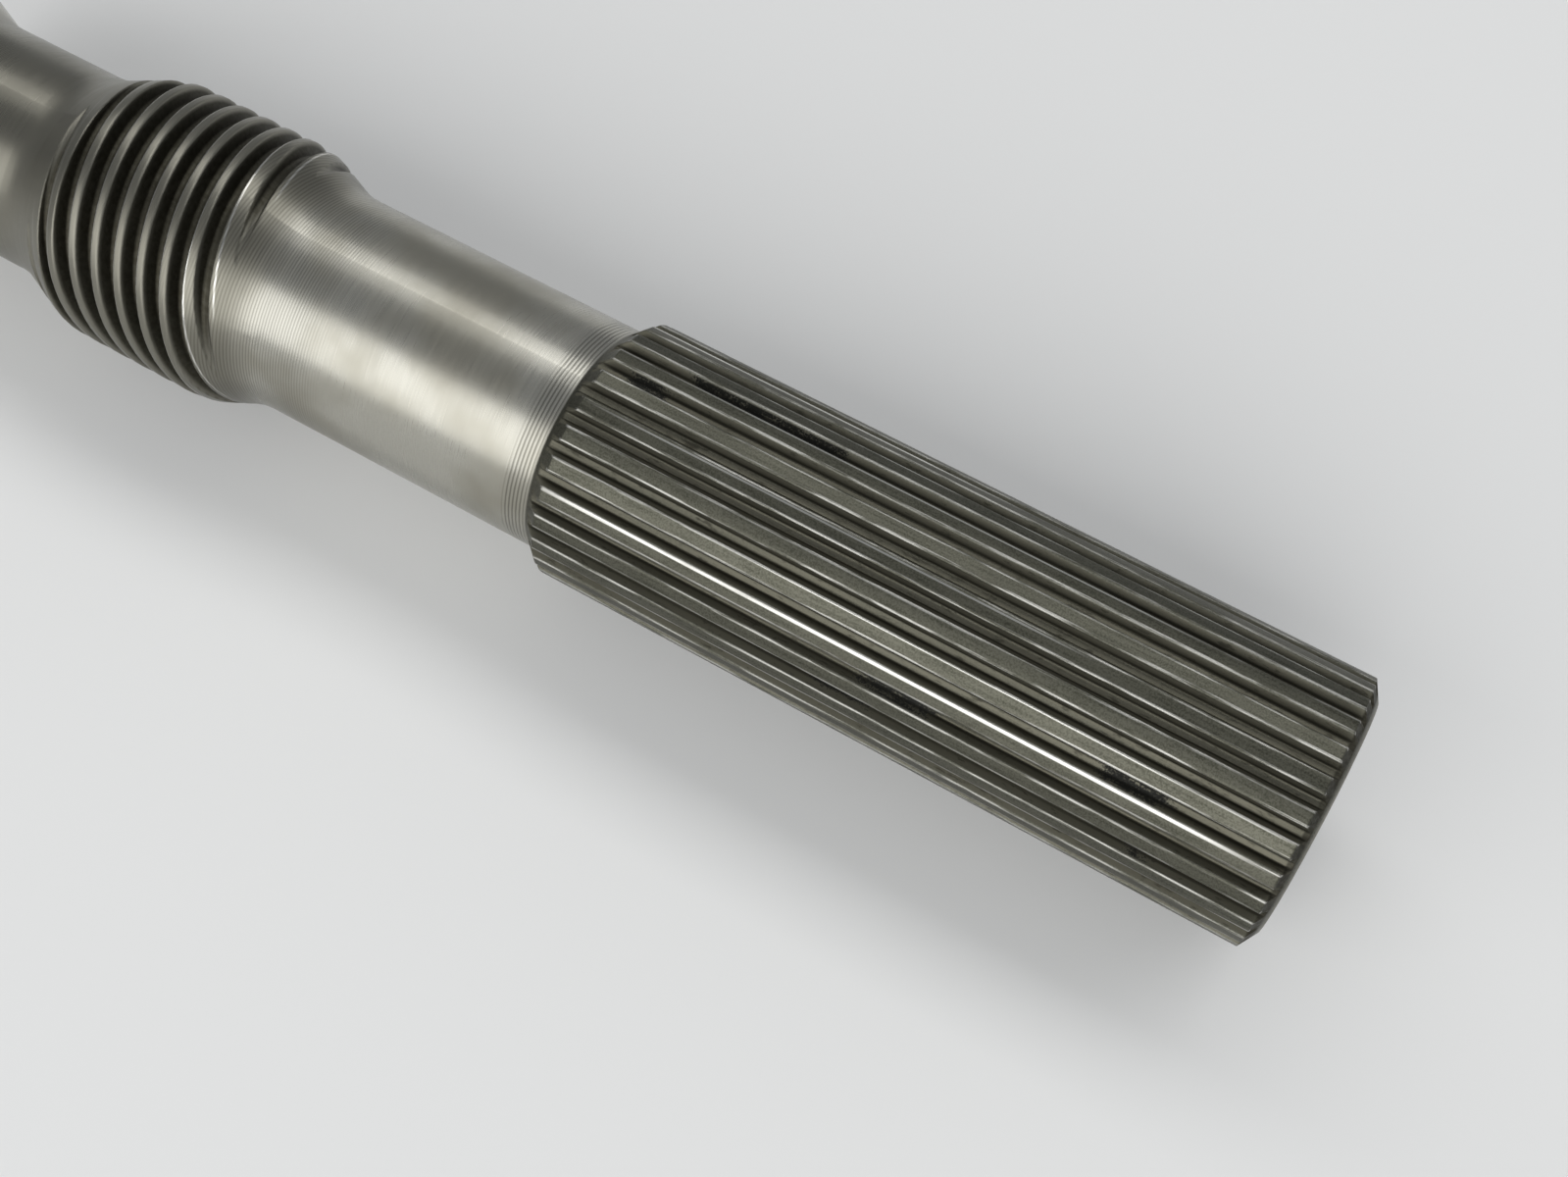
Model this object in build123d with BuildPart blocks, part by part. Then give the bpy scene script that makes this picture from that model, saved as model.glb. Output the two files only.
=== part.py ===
from build123d import *
from math import radians, sin, tan
import os

# Tail of a gearbox output shaft, turned and cut from one steel bar.
# The shaft axis is X. The origin is the centre of the splined end's face and the
# shaft runs from it along -X: spline, plain neck, six-start worm, tail, journal.
# Lengths are in millimetres and angles in degrees.

# Spline
spline_diameter = 30.0      # over the lands
spline_teeth = 27
spline_length = 82.0        # between the two chamfers
space_width = 1.75          # opening between two lands
space_depth = 1.2
space_flank_angle = 22.5    # one flank, from the middle plane of the space
space_root_radius = 0.2
land_edge_break = 0.12      # small chamfer along both edges of each land
front_chamfer_length = 1.2
front_chamfer_depth = 2.1
back_chamfer_length = 2.1   # from the lands down to the neck

# Lathe centre in the splined end
centre_pilot_diameter = 3.15
centre_pilot_depth = 6.0
centre_mouth_diameter = 6.7
centre_angle = 60.0         # whole angle of the cone
centre_point_angle = 118.0

# Neck, tail and journal, measured between the corners of their outline
neck_diameter = 26.2
neck_length = 37.3
tail_diameter = 25.0
tail_length = 19.1
journal_diameter = 35.0
journal_length = 8.0
journal_chamfer = 1.0
flare_angle = 23.0          # slope of every flare between two diameters
flare_foot_radius = 9.0     # concave blend at the low end of a flare
flare_crest_radius = 7.0    # convex blend at the high end of a flare

# Worm
worm_diameter = 31.8
worm_length = 17.9          # full diameter, between the corners of its two flares
worm_starts = 6
worm_pitch = 3.1            # between neighbouring crests, along the axis
worm_depth = 1.75
worm_space_width = 2.2      # at the worm's outside diameter, along the axis
worm_flank_angle = 20.0
worm_root_chamfer = 0.2     # along both sides of each space's floor
worm_edge_break = 0.12      # small chamfer along both edges of each crest
worm_phase = 42.2           # turns the worm about the axis

# What follows from them
spline_radius = spline_diameter / 2
neck_radius = neck_diameter / 2
tail_radius = tail_diameter / 2
worm_radius = worm_diameter / 2
journal_radius = journal_diameter / 2
worm_lead = worm_starts * worm_pitch
slope = tan(radians(flare_angle))
centre_pilot_radius = centre_pilot_diameter / 2
centre_mouth_radius = centre_mouth_diameter / 2
centre_cone_x = -(centre_mouth_radius - centre_pilot_radius) / tan(radians(centre_angle / 2))
centre_point_x = -centre_pilot_depth - centre_pilot_radius / tan(radians(centre_point_angle / 2))

front_x = -front_chamfer_length
back_x = front_x - spline_length
neck_x = back_x - back_chamfer_length
neck_foot_x = neck_x - neck_length
worm_front_x = neck_foot_x - (worm_radius - neck_radius) / slope
worm_back_x = worm_front_x - worm_length
tail_front_x = worm_back_x - (worm_radius - tail_radius) / slope
tail_back_x = tail_front_x - tail_length
journal_x = tail_back_x - (journal_radius - tail_radius) / slope
end_x = journal_x - journal_length

flares = [
    (neck_radius, worm_radius, neck_foot_x, worm_front_x),
    (tail_radius, worm_radius, tail_front_x, worm_back_x),
    (tail_radius, journal_radius, tail_back_x, journal_x),
]


def corner_at(sketch, x):
    return [v for v in sketch.vertices() if abs(v.X - x) < 0.001]


def blend_share(low_radius, high_radius):
    # How much of its two blends a flare has room for
    slant = (high_radius - low_radius) / sin(radians(flare_angle))
    needed = (flare_foot_radius + flare_crest_radius) * tan(radians(flare_angle / 2))
    return min(1, 0.95 * slant / needed)


# One space between two splines, across the shaft: X is outwards
space_root = spline_radius - space_depth
space_flank = tan(radians(space_flank_angle))
root_half_width = space_width / 2 - space_depth * space_flank
break_half_width = space_width / 2 - land_edge_break * space_flank
with BuildSketch() as spline_space:
    with BuildLine():
        Polyline(
            (space_root, 0),
            (space_root, root_half_width),
            (spline_radius - land_edge_break, break_half_width),
            (spline_radius, space_width / 2 + land_edge_break),
            (spline_radius + space_depth, space_width / 2 + land_edge_break),
            (spline_radius + space_depth, 0),
            close=True,
        )
    make_face()
    fillet(spline_space.vertices().group_by(Axis.X)[0].sort_by(Axis.Y)[-1:], radius=space_root_radius)
    mirror(about=Plane.XZ)

# One helical space of the worm, as long as the worm with its flares
worm_root = worm_radius - worm_depth
worm_flank = tan(radians(worm_flank_angle))
worm_space_half = worm_space_width / 2
worm_root_half = worm_space_half - worm_depth * worm_flank
overrun = worm_pitch
cut_x = tail_front_x - overrun
worm_middle_x = (worm_front_x + worm_back_x) / 2
with BuildPart() as worm_space:
    with BuildLine() as cut_path:
        Helix(worm_lead, neck_foot_x + overrun - cut_x, worm_radius, (cut_x, 0, 0), (1, 0, 0))
    cut_start = cut_path.line @ 0
    around = Vector(1, 0, 0).cross(cut_start - Vector(cut_x, 0, 0))
    with BuildSketch(Plane((cut_x, 0, 0), x_dir=(1, 0, 0), z_dir=around)) as cut_section:
        with BuildLine():
            Polyline(
                (-worm_root_half, worm_root),
                (worm_root_half, worm_root),
                (worm_space_half - worm_edge_break * worm_flank, worm_radius - worm_edge_break),
                (worm_space_half + worm_edge_break, worm_radius),
                (worm_space_half + worm_edge_break, worm_radius + worm_depth),
                (-worm_space_half - worm_edge_break, worm_radius + worm_depth),
                (-worm_space_half - worm_edge_break, worm_radius),
                (-worm_space_half + worm_edge_break * worm_flank, worm_radius - worm_edge_break),
                close=True,
            )
        make_face()
        chamfer(cut_section.vertices().group_by(Axis.Y)[0], length=worm_root_chamfer)
    sweep(path=cut_path.wires()[0], is_frenet=True)
    split(bisect_by=Plane.YZ.offset(worm_middle_x), keep=Keep.BOTH)

with BuildPart() as splined_shaft:
    # Turned blank: half its outline, turned about the axis
    with BuildSketch(Plane.XZ) as blank_outline:
        with BuildLine():
            Polyline(
                (0, 0),
                (0, spline_radius - front_chamfer_depth),
                (front_x, spline_radius),
                (back_x, spline_radius),
                (neck_x, neck_radius),
                (neck_foot_x, neck_radius),
                (worm_front_x, worm_radius),
                (worm_back_x, worm_radius),
                (tail_front_x, tail_radius),
                (tail_back_x, tail_radius),
                (journal_x, journal_radius),
                (end_x + journal_chamfer, journal_radius),
                (end_x, journal_radius - journal_chamfer),
                (end_x, 0),
                close=True,
            )
        make_face()
        for low_radius, high_radius, foot_x, crest_x in flares:
            share = blend_share(low_radius, high_radius)
            fillet(corner_at(blank_outline, foot_x), radius=share * flare_foot_radius)
            fillet(corner_at(blank_outline, crest_x), radius=share * flare_crest_radius)
    revolve(axis=Axis.X)

    # Lathe centre, with the point that its pilot drill leaves
    with BuildSketch(Plane.XZ):
        with BuildLine():
            Polyline(
                (0, 0),
                (0, centre_mouth_radius),
                (centre_cone_x, centre_pilot_radius),
                (-centre_pilot_depth, centre_pilot_radius),
                (centre_point_x, 0),
                close=True,
            )
        make_face()
    revolve(axis=Axis.X, mode=Mode.SUBTRACT)

    # Spline spaces, from the end face out over the back chamfer
    with BuildSketch(Plane.YZ):
        with PolarLocations(0, spline_teeth, start_angle=-90):
            add(spline_space.sketch)
    extrude(amount=neck_x - space_depth, mode=Mode.SUBTRACT)

    # Worm: each start is one helical space, which runs out on both flares
    for start in range(worm_starts):
        turn = worm_phase + start * 360 / worm_starts
        add(worm_space.part, rotation=(turn, 0, 0), mode=Mode.SUBTRACT)

splined_shaft.part.label = "splined_shaft"
os.makedirs("parts", exist_ok=True)
export_step(splined_shaft.part, "parts/splined_shaft.step")
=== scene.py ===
import bpy
import math
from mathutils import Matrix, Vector


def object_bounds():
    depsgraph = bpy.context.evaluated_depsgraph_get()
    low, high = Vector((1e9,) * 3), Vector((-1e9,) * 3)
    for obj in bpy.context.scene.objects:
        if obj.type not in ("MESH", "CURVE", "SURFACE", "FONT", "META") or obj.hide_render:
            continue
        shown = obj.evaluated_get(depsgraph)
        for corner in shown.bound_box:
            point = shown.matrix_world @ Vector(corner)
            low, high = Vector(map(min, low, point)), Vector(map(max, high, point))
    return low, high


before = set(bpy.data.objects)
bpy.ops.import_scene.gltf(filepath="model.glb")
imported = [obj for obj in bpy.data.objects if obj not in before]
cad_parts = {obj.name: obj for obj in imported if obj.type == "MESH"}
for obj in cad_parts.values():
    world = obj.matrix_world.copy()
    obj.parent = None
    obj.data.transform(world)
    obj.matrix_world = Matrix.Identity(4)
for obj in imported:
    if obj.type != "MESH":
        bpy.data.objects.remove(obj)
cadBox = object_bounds()
print("frame loaded")


# shader node helpers: each adds one node and gives back its output
def setInput(tree, socket, value):
    if isinstance(value, bpy.types.NodeSocket):
        tree.links.new(value, socket)
    else:
        socket.default_value = value


def calc(tree, operation, *values):
    n = tree.nodes.new("ShaderNodeMath")
    n.operation = operation
    for socket, value in zip(n.inputs, values):
        setInput(tree, socket, value)
    return n.outputs[0]


def plus(tree, first, *others):
    for value in others:
        first = calc(tree, "ADD", first, value)
    return first


def times(tree, first, *others):
    for value in others:
        first = calc(tree, "MULTIPLY", first, value)
    return first


def minus(tree, a, b):
    return calc(tree, "SUBTRACT", a, b)


def highest(tree, first, *others):
    for value in others:
        first = calc(tree, "MAXIMUM", first, value)
    return first


def wave(tree, value, spacing):
    return calc(tree, "SINE", times(tree, value, 2 * math.pi / spacing))


def ramp(tree, value, low, high, toLow=0.0, toHigh=1.0):
    # a smooth step from toLow at low to toHigh at high
    n = tree.nodes.new("ShaderNodeMapRange")
    n.interpolation_type = "SMOOTHSTEP"
    sockets = {"Value": value, "From Min": low, "From Max": high, "To Min": toLow, "To Max": toHigh}
    for name, v in sockets.items():
        setInput(tree, n.inputs[name], v)
    return n.outputs[0]


def fall(tree, value, low, high):
    # 1 up to low, 0 from high
    return ramp(tree, value, low, high, 1.0, 0.0)


def between(tree, value, start, end, soft):
    # 1 from start to end, fading over soft on both sides
    return times(tree, ramp(tree, value, start - soft, start + soft),
                 fall(tree, value, end - soft, end + soft))


def near(tree, value, place, inner, outer):
    # 1 within inner of the place, 0 past outer
    return fall(tree, calc(tree, "ABSOLUTE", minus(tree, value, place)), inner, outer)


def stretched(tree, vector, scale):
    # a scale below 1 draws a pattern out along that axis
    n = tree.nodes.new("ShaderNodeMapping")
    n.vector_type = "POINT"
    setInput(tree, n.inputs["Vector"], vector)
    n.inputs["Scale"].default_value = scale
    return n.outputs[0]


def noise(tree, vector, scale, detail=2.0, rough=0.5):
    n = tree.nodes.new("ShaderNodeTexNoise")
    setInput(tree, n.inputs["Vector"], vector)
    n.inputs["Scale"].default_value = scale
    n.inputs["Detail"].default_value = detail
    n.inputs["Roughness"].default_value = rough
    return n.outputs["Fac"]


def mixColor(tree, factor, a, b):
    n = tree.nodes.new("ShaderNodeMix")
    n.data_type = "RGBA"
    setInput(tree, n.inputs[0], factor)
    setInput(tree, n.inputs[6], a if isinstance(a, bpy.types.NodeSocket) else (*a, 1))
    setInput(tree, n.inputs[7], b if isinstance(b, bpy.types.NodeSocket) else (*b, 1))
    return n.outputs[2]


shaftLook = {
    # places along the shaft, in metres from the splined end
    "chamferDirtFrom": -0.0013, "neckStart": -0.0853, "ringsEnd": -0.0883, "feedStart": -0.112,
    "darkFront": -0.1225, "darkBack": -0.175,       # where the steel by the worm is painted darker: painted shade
    "flareFront": -0.1226, "wormFront": -0.1292, "wormBack": -0.1471, "flareBack": -0.1551,
    # the spline
    "teeth": 27, "landRadius": 0.015, "spaceDepth": 0.0012, "spaceHalfWidth": 0.000875,
    "spaceFloorHalf": 0.00038, "faceRadius": 0.0136,
    # the worm, and the radii on its flares between which its spaces open
    "wormPitch": 0.0031, "wormStarts": 6, "wormRadius": 0.0159, "flareSlope": math.tan(math.radians(23)),
    "wormSpaceAt": -0.14055, "wormSpaceAngle": 113.9, "wormSpaceHalf": 0.0011,
    "spaceOpensFrom": 0.01425, "spaceOpenAt": 0.0146,
    # steel by zone
    "neckSteel": (0.41, 0.40, 0.355),
    "dullSteel": (0.31, 0.297, 0.25),
    # painted shade: the darker colour painted on the steel by the worm
    "wormSteel": (0.185, 0.178, 0.148),
    "splineSteel": (0.112, 0.110, 0.087),
    "dullLand": (0.052, 0.052, 0.039),
    "spaceSteel": (0.120, 0.114, 0.087),
    # painted light: the spline spaces' flanks are painted lighter to offset their shade
    "flankSteel": (0.140, 0.134, 0.103),
    "facedSteel": (0.27, 0.26, 0.225),
    # painted shade: the colour for the worm's spaces, darker with depth, and for the valleys of the tool's
    # rings
    "grooveSteel": (0.042, 0.039, 0.028),
    # the bright colour of the worn land edges, also used for the painted highlights
    "brightEdge": (0.62, 0.61, 0.57),
    # dark colour for the dirt in the spaces and on the end face, for the darkened space corners, and for
    # the painted shade on the front chamfer
    "residue": (0.022, 0.020, 0.015),
    "scale": (0.010, 0.010, 0.007),
    # black scale left in the spaces: from, to, and degrees round the shaft from +Y
    "scalePatches": [(-0.0815, -0.0755, 81.9), (-0.0760, -0.0567, 68.9), (-0.0207, -0.0130, 135.9),
                     (-0.0507, -0.0430, 161.9), (-0.0155, -0.0125, 162.9), (-0.0460, -0.0370, 149.9),
                     (-0.0640, -0.0560, 215.6), (-0.0300, -0.0180, 282.2), (-0.0720, -0.0610, 335.6)],
    # painted highlights along one edge of a few lands: from, to, degrees, and half the highlight's width in
    # degrees
    "rubbedEdges": [(-0.0825, -0.006, 140.9, 0.75), (-0.084, -0.045, 47.5, 0.9),
                    (-0.060, -0.012, 127.2, 0.30), (-0.078, -0.030, 101.6, 0.35),
                    (-0.070, -0.020, 74.0, 0.35), (-0.075, -0.010, 247.0, 0.6),
                    (-0.060, -0.015, 353.9, 0.6)],
    # how strong the darkened space corners, the dirt, the worn edges and the tool's rings are, from 0 to 1
    "cornerDirt": 0.7, "spaceDirt": 0.45, "landEdgeShine": 0.65, "ringShade": 0.55, "feedShade": 0.35,
    "ringSpacing": 0.00045, "feedSpacing": 0.00036,
    "bumpStrength": 0.6, "bumpDepth": 0.000012, "edgeRounding": 0.00032,
}


def signedAngle(degrees):
    # radians, counted as the shader's arctangent gives them
    return math.radians(degrees if degrees < 180 else degrees - 360)


def splinePlaces(t, u, at):
    # where a point is among the splines: in a space, at its corners, on its flanks, at a land's edge
    x, turn, radius = at["x"], at["turn"], at["radius"]
    floorHalf, halfWidth, top = u["spaceFloorHalf"], u["spaceHalfWidth"], u["landRadius"]
    pitchAngle = 2 * math.pi / u["teeth"]
    phase = plus(t, calc(t, "DIVIDE", plus(t, turn, math.pi / 2), pitchAngle), 40.5)
    across = times(t, minus(t, calc(t, "FRACT", phase), 0.5), pitchAngle, radius)
    fromSpace = calc(t, "ABSOLUTE", across)
    onSpline = ramp(t, x, u["neckStart"] - 0.0002, u["neckStart"] + 0.0002)
    sunk = between(t, radius, top - u["spaceDepth"] - 0.0002, top - 0.00025, 0.0001)
    inSpace = times(t, sunk, onSpline, fall(t, fromSpace, halfWidth, halfWidth + 0.0001))
    at["onSpline"] = onSpline
    at["offSpline"] = minus(t, 1.0, onSpline)
    at["inSpace"] = inSpace
    at["corner"] = times(t, near(t, fromSpace, floorHalf + 0.00005, 0.00002, 0.00016), inSpace)
    at["flank"] = times(t, inSpace, ramp(t, fromSpace, floorHalf + 0.00008, floorHalf + 0.0002))
    at["landEdge"] = times(t, near(t, fromSpace, halfWidth + 0.00010, 0.00006, 0.00020), onSpline,
                           ramp(t, radius, top - 0.0004, top - 0.0002))


def wormPlaces(t, u, at):
    # how deep a point is in the worm's spaces, and the one edge of each crest that gets a painted highlight
    x, turn, radius = at["x"], at["turn"], at["radius"]
    onWorm = between(t, x, u["flareBack"], u["flareFront"], 0.001)
    fromSpace = times(t, minus(t, turn, math.radians(u["wormSpaceAngle"])), u["wormStarts"] / (2 * math.pi))
    along = minus(t, calc(t, "DIVIDE", minus(t, x, u["wormSpaceAt"]), u["wormPitch"]), fromSpace)
    across = times(t, minus(t, calc(t, "FRACT", plus(t, along, 60.5)), 0.5), u["wormPitch"])
    slopeFront = times(t, minus(t, u["wormFront"], x), u["flareSlope"])
    slopeBack = times(t, minus(t, x, u["wormBack"]), u["flareSlope"])
    lowest = calc(t, "MINIMUM", calc(t, "MINIMUM", slopeFront, slopeBack), 0.0)
    outline = plus(t, lowest, u["wormRadius"])      # the blank's radius before the spaces are cut
    depth = minus(t, outline, radius)
    cut = times(t, onWorm, ramp(t, outline, u["spaceOpensFrom"], u["spaceOpenAt"]))
    at["onWorm"] = onWorm
    at["grooveDepth"] = times(t, depth, cut)
    at["crestEdge"] = times(t, near(t, across, u["wormSpaceHalf"] + 0.00003, 0.00005, 0.00014), cut,
                            fall(t, depth, 0.0002, 0.0005))


def endPlaces(t, u, at):
    # the two end faces, and the chamfer round the splined one
    inner, outer = u["faceRadius"] - 0.0002, u["faceRadius"] + 0.0002
    at["frontFace"] = times(t, ramp(t, at["x"], -0.0003, -0.0001), fall(t, at["radius"], inner, outer))
    at["frontChamfer"] = times(t, ramp(t, at["x"], u["chamferDirtFrom"], u["chamferDirtFrom"] + 0.0003),
                               ramp(t, at["radius"], inner, outer))
    at["backFace"] = fall(t, at["x"], cadBox[0].x + 0.0002, cadBox[0].x + 0.0004)


def wearPatterns(t, place):
    # lines along the splines, rings round the turned parts, clouds and grain everywhere
    alongPlace = stretched(t, place, (0.05, 1, 1))
    ringPlace = stretched(t, place, (1, 0.02, 0.02))
    wear = {
        "cloud": noise(t, place, 75, 3, 0.5),
        "grain": noise(t, place, 5200, 2, 0.6),
        "streak": noise(t, alongPlace, 2800, 3, 0.6),
        "dirt": noise(t, alongPlace, 900, 4, 0.65),
        "line": noise(t, stretched(t, place, (0.012, 1, 1)), 5200, 2, 0.6),
        "speck": noise(t, stretched(t, place, (0.3, 1, 1)), 1700, 4, 0.65),
        "fineRing": noise(t, ringPlace, 9000, 2, 0.7),
        "wideRing": noise(t, ringPlace, 1500, 2, 0.6),
    }
    wear["patchEdge"] = plus(t, times(t, wear["speck"], 0.55), times(t, wear["grain"], 0.45))
    return wear


def scaleMask(t, u, at, wear):
    # black patches, with broken ends and sides
    patches = 0.0
    for start, end, angle in u["scalePatches"]:
        patch = times(t, between(t, at["x"], start, end, 0.002),
                      near(t, at["turn"], signedAngle(angle), 0.055, 0.085))
        patches = highest(t, patches, patch)
    ragged = plus(t, times(t, patches, 0.30), wear["patchEdge"])
    return times(t, ramp(t, ragged, 0.67, 0.81), at["inSpace"])


def rubbedMask(t, u, at, wear):
    # painted highlights along the outer edges of a few lands, where those edges catch the light
    rubbed = 0.0
    for start, end, angle, half in u["rubbedEdges"]:
        half = math.radians(half)
        band = near(t, at["turn"], signedAngle(angle), half * 0.6, half * 1.3)
        rubbed = highest(t, rubbed, times(t, between(t, at["x"], start, end, 0.006), band))
    onLand = ramp(t, at["radius"], u["landRadius"] - 0.0002, u["landRadius"] - 0.0001)
    return times(t, rubbed, onLand, ramp(t, wear["streak"], 0.25, 0.5, 0.55, 1.0))


def addLayers(t, u, at, wear):
    # what lies on the steel or has worn it: dirt, scale and worn edges; with them the darkened space
    # corners, painted shade in the worm's spaces and on the front chamfer, and painted highlights
    speck = wear["speck"]
    broken = ramp(t, wear["dirt"], 0.38, 0.58, 0.35, 1.0)
    wornLand = times(t, at["landEdge"], ramp(t, wear["streak"], 0.40, 0.60), u["landEdgeShine"])
    # painted highlight: a bright line along one edge of each worm crest, weaker at the worm's back end
    wornCrest = times(t, at["crestEdge"], ramp(t, wear["cloud"], 0.3, 0.6, 0.5, 1.0),
                      ramp(t, at["x"], u["wormBack"] - 0.0004, u["wormBack"] + 0.0026, 0.15, 1.0))
    rubbed = rubbedMask(t, u, at, wear)
    return {
        # the spaces' corners are painted darker in patches
        "residue": highest(t, times(t, at["corner"], broken, u["cornerDirt"]),
                           times(t, at["inSpace"], ramp(t, speck, 0.55, 0.68), u["spaceDirt"]),
                           # painted shade: the front chamfer is painted dark, with specks
                           times(t, at["frontChamfer"], ramp(t, speck, 0.3, 0.7, 0.45, 0.8)),
                           times(t, at["frontFace"], ramp(t, speck, 0.4, 0.8, 0.0, 0.35))),
        # painted shade: the worm's spaces darken with depth
        "groove": ramp(t, at["grooveDepth"], 0.00012, 0.00065),
        "scale": scaleMask(t, u, at, wear),
        "rubbed": rubbed,
        "edge": highest(t, wornLand, wornCrest, rubbed),
    }


def toolMarks(t, u, at):
    # rings left by the turning tool: behind the spline, in front of the worm and on both end faces
    x = at["x"]
    byRings = between(t, x, u["ringsEnd"], u["neckStart"], 0.0007)
    byFeed = between(t, x, u["wormFront"] - 0.004, u["feedStart"], 0.004)
    shadedFeed = between(t, x, u["wormFront"], u["feedStart"] - 0.002, 0.003)
    rings = times(t, wave(t, x, u["ringSpacing"]), byRings)
    feed = times(t, wave(t, x, u["feedSpacing"]), byFeed, fall(t, at["grooveDepth"], 0.0001, 0.0003))
    onFaces = plus(t, at["frontFace"], at["backFace"])
    return {
        "rings": rings,
        "feed": feed,
        "facing": times(t, wave(t, at["radius"], u["feedSpacing"]), onFaces),
        "shade": plus(t, times(t, fall(t, rings, -0.8, 0.3), byRings, u["ringShade"]),
                      times(t, fall(t, feed, -0.8, 0.3), shadedFeed, u["feedShade"])),
    }


def steelColor(t, u, at, wear, layers, marks):
    color = mixColor(t, ramp(t, wear["cloud"], 0.40, 0.66), u["neckSteel"], u["dullSteel"])
    # painted shade: the steel by the worm is painted darker
    byWorm = between(t, at["x"], u["darkBack"], u["darkFront"], 0.0025)
    color = mixColor(t, times(t, byWorm, 0.95), color, u["wormSteel"])
    dullness = plus(t, ramp(t, wear["streak"], 0.35, 0.8, 0.0, 0.7),
                    ramp(t, wear["grain"], 0.35, 0.65, -0.25, 0.45))
    color = mixColor(t, at["onSpline"], color, mixColor(t, dullness, u["splineSteel"], u["dullLand"]))
    lined = times(t, at["inSpace"], ramp(t, wear["line"], 0.35, 0.65, 1.0, 0.35))
    color = mixColor(t, lined, color, u["spaceSteel"])
    # painted light: the flanks are painted lighter to offset their shade
    color = mixColor(t, at["flank"], color, u["flankSteel"])
    faced = times(t, at["frontFace"], ramp(t, wear["cloud"], 0.3, 0.65, 1.0, 0.5))
    color = mixColor(t, faced, color, u["facedSteel"])
    color = mixColor(t, layers["residue"], color, u["residue"])
    # painted shade: the worm's spaces painted dark with depth
    blackened = times(t, layers["groove"], ramp(t, wear["speck"], 0.3, 0.7, 0.98, 0.82))
    color = mixColor(t, blackened, color, u["grooveSteel"])
    color = mixColor(t, layers["scale"], color, u["scale"])
    # worn land edges and painted highlights
    color = mixColor(t, layers["edge"], color, u["brightEdge"])
    return mixColor(t, marks["shade"], color, u["grooveSteel"])


def steelRoughness(t, at, wear, layers):
    return plus(t, ramp(t, wear["cloud"], 0.3, 0.7, 0.25, 0.33),
                times(t, at["onSpline"], 0.16), times(t, at["flank"], 0.15), times(t, at["onWorm"], 0.05),
                times(t, ramp(t, wear["fineRing"], 0.3, 0.7, -0.03, 0.05), at["offSpline"]),
                times(t, layers["residue"], 0.25), times(t, layers["scale"], 0.35),
                times(t, layers["groove"], 0.15), times(t, layers["edge"], -0.18),
                times(t, layers["rubbed"], -0.06))


def steelHeight(t, at, wear, layers, marks):
    # heights are in bump depths
    return plus(t, times(t, marks["rings"], 1.5), times(t, marks["feed"], 0.5),
                times(t, marks["facing"], 0.5),
                times(t, minus(t, wear["wideRing"], 0.5), at["offSpline"], 0.30),
                times(t, minus(t, wear["fineRing"], 0.5), at["offSpline"], 0.2),
                times(t, wear["grain"], plus(t, times(t, at["onSpline"], 0.8), 0.15)),
                times(t, wear["streak"], at["onSpline"], 0.45),
                times(t, wear["line"], at["inSpace"], 0.8), times(t, layers["scale"], 1.4))


def steelMaterial():
    u = shaftLook
    m = bpy.data.materials.new("turnedSteel")
    m.use_nodes = True
    t = m.node_tree
    shader = t.nodes["Principled BSDF"]
    place = t.nodes.new("ShaderNodeTexCoord").outputs["Object"]
    split = t.nodes.new("ShaderNodeSeparateXYZ")
    t.links.new(place, split.inputs[0])
    x, y, z = split.outputs
    at = {
        "x": x,
        "radius": calc(t, "SQRT", plus(t, times(t, y, y), times(t, z, z))),
        "turn": calc(t, "ARCTAN2", z, y),       # radians, 0 at +Y
    }
    splinePlaces(t, u, at)
    wormPlaces(t, u, at)
    endPlaces(t, u, at)
    wear = wearPatterns(t, place)
    layers = addLayers(t, u, at, wear)
    marks = toolMarks(t, u, at)

    t.links.new(steelColor(t, u, at, wear, layers, marks), shader.inputs["Base Color"])
    t.links.new(steelRoughness(t, at, wear, layers), shader.inputs["Roughness"])
    t.links.new(minus(t, 1.0, times(t, layers["scale"], 0.7)), shader.inputs["Metallic"])
    bump = t.nodes.new("ShaderNodeBump")
    bump.inputs["Strength"].default_value = u["bumpStrength"]
    bump.inputs["Distance"].default_value = u["bumpDepth"]
    t.links.new(steelHeight(t, at, wear, layers, marks), bump.inputs["Height"])
    rounding = t.nodes.new("ShaderNodeBevel")
    rounding.samples = 6
    rounding.inputs["Radius"].default_value = u["edgeRounding"]
    t.links.new(rounding.outputs[0], bump.inputs["Normal"])
    t.links.new(bump.outputs[0], shader.inputs["Normal"])
    return m


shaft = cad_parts["splined_shaft"]
steel = steelMaterial()
for s in shaft.material_slots:
    s.material = steel
print("shaft finished")


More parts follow.
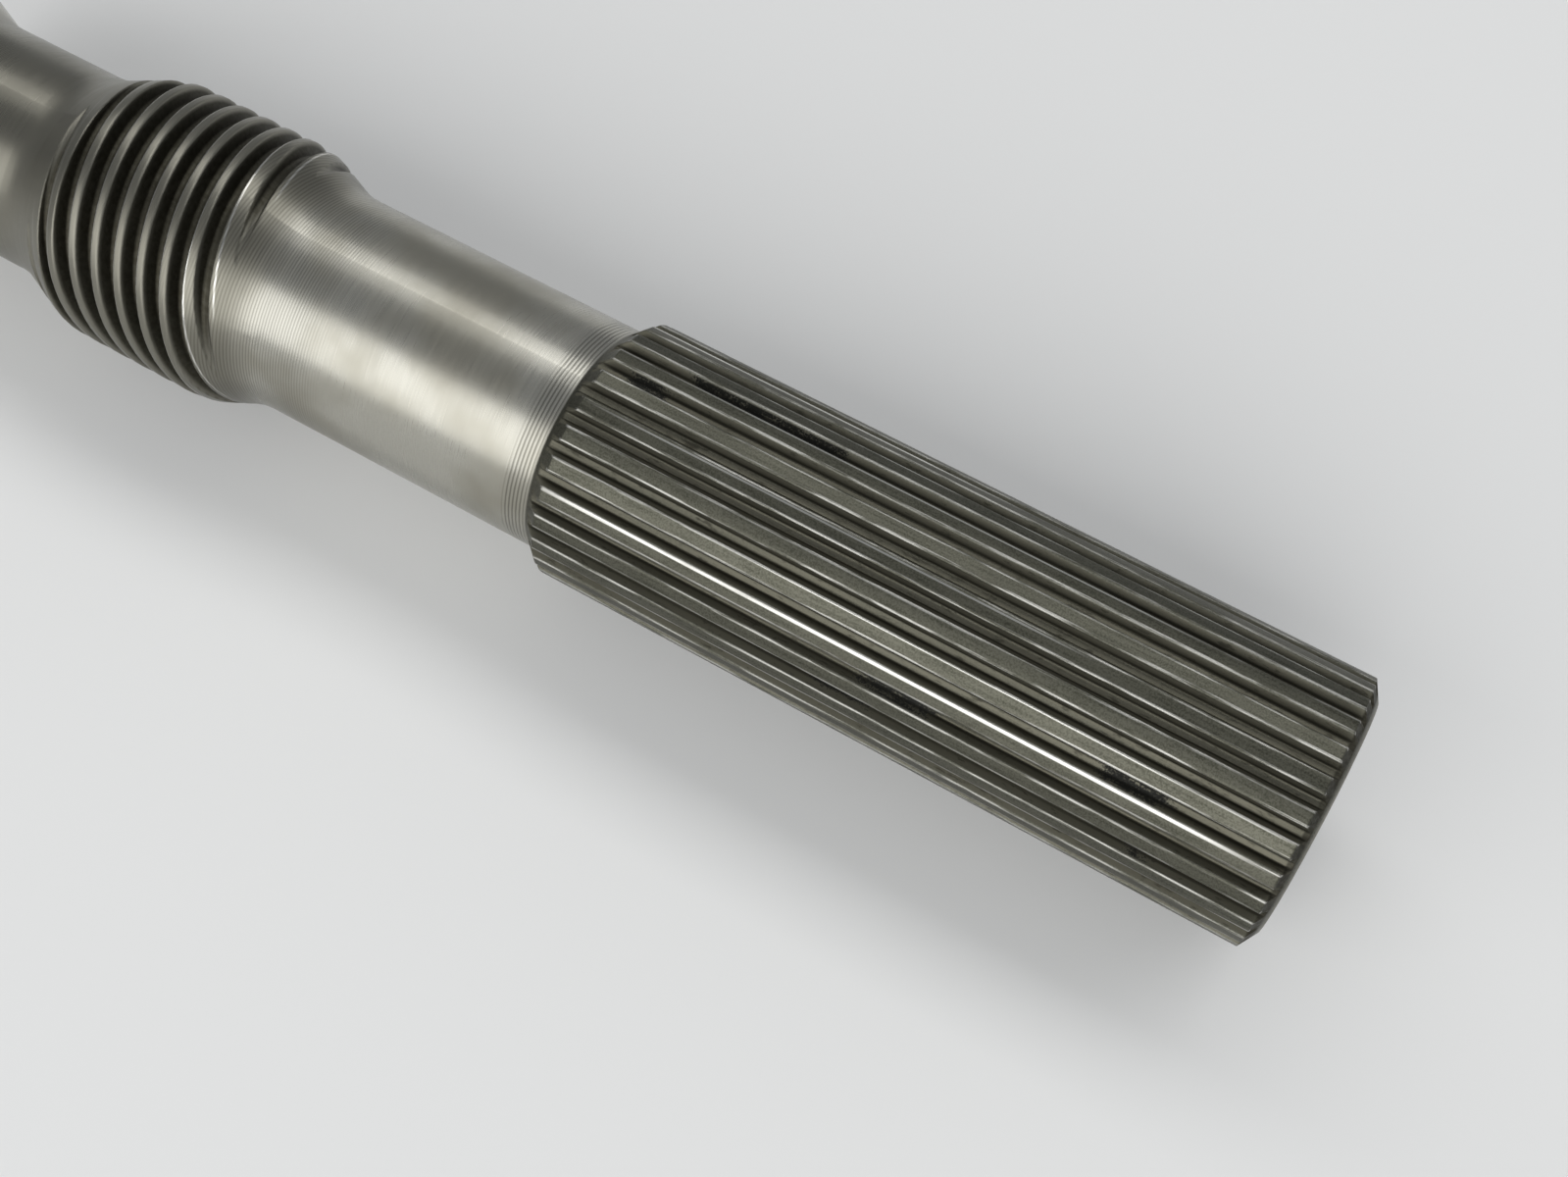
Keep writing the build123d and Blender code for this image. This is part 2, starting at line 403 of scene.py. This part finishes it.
studio = {
    "floorColor": (0.77, 0.77, 0.76, 1), "floorSize": 3.0,
    "middle": (-0.08, 0.0, 0.0),
    "frontPlace": (-0.08, -1.29, 0.78), "frontSize": (3.4, 1.42), "frontPower": 20.6,
    "backPlace": (-0.08, 0.69, 1.29), "backSize": (3.4, 0.51), "backPower": 7.6,
    "lampSpread": 140,
    "skyColor": (0.93, 0.96, 1.0, 1), "skyStrength": 0.34,
    "lens": 45.85, "sensorWidth": 36,
    "cameraPlace": (-0.010996, -0.087410, 0.186425), "cameraTurn": (27.068, -0.248, 30.358),
}


def addFloor():
    u = studio
    bpy.ops.mesh.primitive_plane_add(size=u["floorSize"], location=(0, 0, cadBox[0].z))
    floor = bpy.context.active_object
    floor.name = "floor"
    m = bpy.data.materials.new("paleFloor")
    m.use_nodes = True
    shader = m.node_tree.nodes["Principled BSDF"]
    shader.inputs["Base Color"].default_value = u["floorColor"]
    shader.inputs["Roughness"].default_value = 0.8
    shader.inputs["Specular IOR Level"].default_value = 0.2
    floor.data.materials.append(m)


def addLight(name, place, size, power):
    light = bpy.data.lights.new(name, "AREA")
    light.shape = "RECTANGLE"
    light.size, light.size_y = size
    light.energy = power
    light.spread = math.radians(studio["lampSpread"])     # keeps the lamp off the floor beneath it
    o = bpy.data.objects.new(name, light)
    o.location = place
    towards = Vector(studio["middle"]) - Vector(place)
    o.rotation_euler = towards.to_track_quat("-Z", "Y").to_euler()
    bpy.context.scene.collection.objects.link(o)


def addCamera():
    u = studio
    cam = bpy.data.cameras.new("camera")
    cam.lens = u["lens"]
    cam.sensor_width = u["sensorWidth"]
    cam.clip_start = 0.005
    o = bpy.data.objects.new("camera", cam)
    o.location = u["cameraPlace"]
    o.rotation_euler = [math.radians(a) for a in u["cameraTurn"]]
    bpy.context.scene.collection.objects.link(o)
    bpy.context.scene.camera = o


def addSky():
    world = bpy.data.worlds.new("world")
    bpy.context.scene.world = world
    world.use_nodes = True
    background = world.node_tree.nodes["Background"]
    background.inputs["Color"].default_value = studio["skyColor"]
    background.inputs["Strength"].default_value = studio["skyStrength"]


addFloor()
addLight("frontWindow", studio["frontPlace"], studio["frontSize"], studio["frontPower"])
addLight("backWindow", studio["backPlace"], studio["backSize"], studio["backPower"])
addSky()
addCamera()
bpy.context.scene.view_settings.view_transform = "Standard"
print("studio ready")
